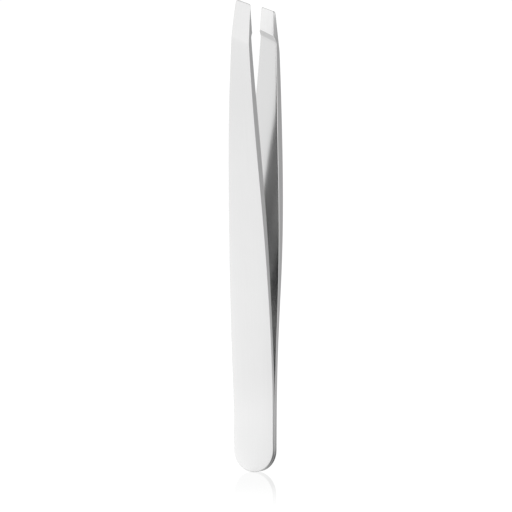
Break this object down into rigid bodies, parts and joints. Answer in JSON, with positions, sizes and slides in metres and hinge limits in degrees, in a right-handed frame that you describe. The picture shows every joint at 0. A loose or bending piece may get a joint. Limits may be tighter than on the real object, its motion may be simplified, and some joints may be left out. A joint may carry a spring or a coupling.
{
  "type": "slant tweezers",
  "caption": "Spring-steel slant tweezers: two bowed arms welded at a round flat heel, tapering to slanted ground jaws that close when squeezed.",
  "frame": {"origin": "lowest point of the round heel, on the seam between the two arms", "axes": "+Z along the tweezers from heel to tips, X across the width of the arms, Y the way they open, with the front arm at -Y and the high corner of both slanted tips at -X"},
  "size_m": [0.0092, 0.0128, 0.095],
  "materials": {
    "arm_steel": "fine satin outside, polished on the inner faces, softly rounded edges",
    "weld_steel": "as fused, hidden in the seam"
  },
  "bodies": {
    "heel": {"front_heel": "arm_steel", "rear_heel": "arm_steel", "weld_nugget_lower": "weld_steel", "weld_nugget_upper": "weld_steel"},
    "front_arm": {"front_limb": "arm_steel"},
    "rear_arm": {"rear_limb": "arm_steel"}
  },
  "joints": [
    {"name": "front_arm_flex", "type": "hinge", "parent": "heel", "child": "front_arm", "pos_m": [0, -0.00077, 0.02], "axis": [-1, 0, 0], "range_deg": [0, 3.6], "stiffness_Nm_per_rad": 2.5},
    {"name": "rear_arm_flex", "type": "hinge", "parent": "heel", "child": "rear_arm", "pos_m": [0, 0.00077, 0.02], "axis": [1, 0, 0], "range_deg": [0, 3.6], "stiffness_Nm_per_rad": 2.5}
  ],
  "couplings": [
    {"joint": "rear_arm_flex", "follows": "front_arm_flex", "ratio": 1}
  ]
}
